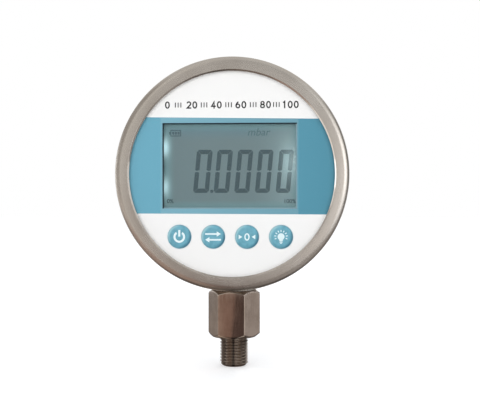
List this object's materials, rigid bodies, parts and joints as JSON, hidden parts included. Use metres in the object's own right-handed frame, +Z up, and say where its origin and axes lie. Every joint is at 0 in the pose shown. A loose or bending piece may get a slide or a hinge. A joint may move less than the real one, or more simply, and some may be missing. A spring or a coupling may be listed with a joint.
{
  "type": "digital pressure gauge",
  "caption": "Round steel-cased digital pressure gauge with a liquid crystal window, a row of sprung keys and a threaded hexagon connection at the bottom.",
  "frame": {"origin": "on the stem's axis at the sealing face, which is the lower face of the hexagon", "axes": "-Z points down the threaded stud, +Z up the stem, the dial faces -Y, and +X is to the right of a person who reads the dial"},
  "size_m": [0.11, 0.0456, 0.1485],
  "materials": {
    "ring_steel": "satin stainless sheet, finely brushed",
    "case_steel": "satin stainless sheet",
    "stem_steel": "turned and milled stainless bar",
    "screw_steel": "bright zinc-plated steel",
    "printed_sheet": "printed polyester sheet, white with a blue band",
    "panel_plastic": "moulded light grey plastic",
    "clear_window": "clear acrylic",
    "white_gasket": "soft white gasket",
    "black_rubber": "black rubber",
    "key_blue": "blue key faces with pale print",
    "plunger_plastic": "ivory plastic",
    "black_plastic": "black moulded plastic",
    "display": "grey-green liquid crystal glass",
    "guide_plastic": "milky light guide",
    "bright_brass": "bright brass",
    "board_green": "green solder mask",
    "chip_black": "black moulded package",
    "can_metal": "drawn metal can",
    "socket_plastic": "natural nylon",
    "cell_sleeve": "printed cell sleeve, plain",
    "lead_sleeve": "insulated wire"
  },
  "bodies": {
    "gauge": {"bezel_ring": "ring_steel", "bezel_gasket": "white_gasket", "front_sheet": "printed_sheet", "front_panel": "panel_plastic", "window_plate": "clear_window", "case_gasket": "black_rubber", "case_barrel": "case_steel", "rear_gasket": "black_rubber", "rear_cover": "case_steel", "cover_screws": "screw_steel", "cover_nuts": "screw_steel", "switch_housings": "black_plastic", "display_glass": "display", "display_frame": "black_plastic", "light_guide": "guide_plastic", "side_lamps": "plunger_plastic", "display_pins": "bright_brass", "circuit_board": "board_green", "main_chip": "chip_black", "converter_chip": "chip_black", "crystal": "can_metal", "capacitors": "can_metal", "small_parts": "chip_black", "battery_socket": "socket_plastic", "sensor_socket": "socket_plastic", "spacers": "bright_brass", "tray_screws": "screw_steel", "battery_tray": "black_plastic", "upper_cell": "cell_sleeve", "lower_cell": "cell_sleeve", "end_plates": "bright_brass", "leaf_springs": "bright_brass", "battery_leads": "lead_sleeve", "sensor_lead": "lead_sleeve", "connector_body": "stem_steel", "neck_washer": "white_gasket", "lock_nut": "bright_brass", "sensor_capsule": "can_metal", "sensor_o_ring": "black_rubber", "retaining_ring": "bright_brass"},
    "power_button": {"power_key": "key_blue", "power_plunger": "plunger_plastic"},
    "unit_button": {"unit_key": "key_blue", "unit_plunger": "plunger_plastic"},
    "zero_button": {"zero_key": "key_blue", "zero_plunger": "plunger_plastic"},
    "light_button": {"light_key": "key_blue", "light_plunger": "plunger_plastic"}
  },
  "joints": [
    {"name": "power_press", "type": "slide", "parent": "gauge", "child": "power_button", "axis": [0, 1, 0], "range_m": [0, 0.0005], "stiffness_N_per_m": 3000, "springref_m": -0.0001},
    {"name": "unit_press", "type": "slide", "parent": "gauge", "child": "unit_button", "axis": [0, 1, 0], "range_m": [0, 0.0005], "stiffness_N_per_m": 3000, "springref_m": -0.0001},
    {"name": "zero_press", "type": "slide", "parent": "gauge", "child": "zero_button", "axis": [0, 1, 0], "range_m": [0, 0.0005], "stiffness_N_per_m": 3000, "springref_m": -0.0001},
    {"name": "light_press", "type": "slide", "parent": "gauge", "child": "light_button", "axis": [0, 1, 0], "range_m": [0, 0.0005], "stiffness_N_per_m": 3000, "springref_m": -0.0001}
  ]
}
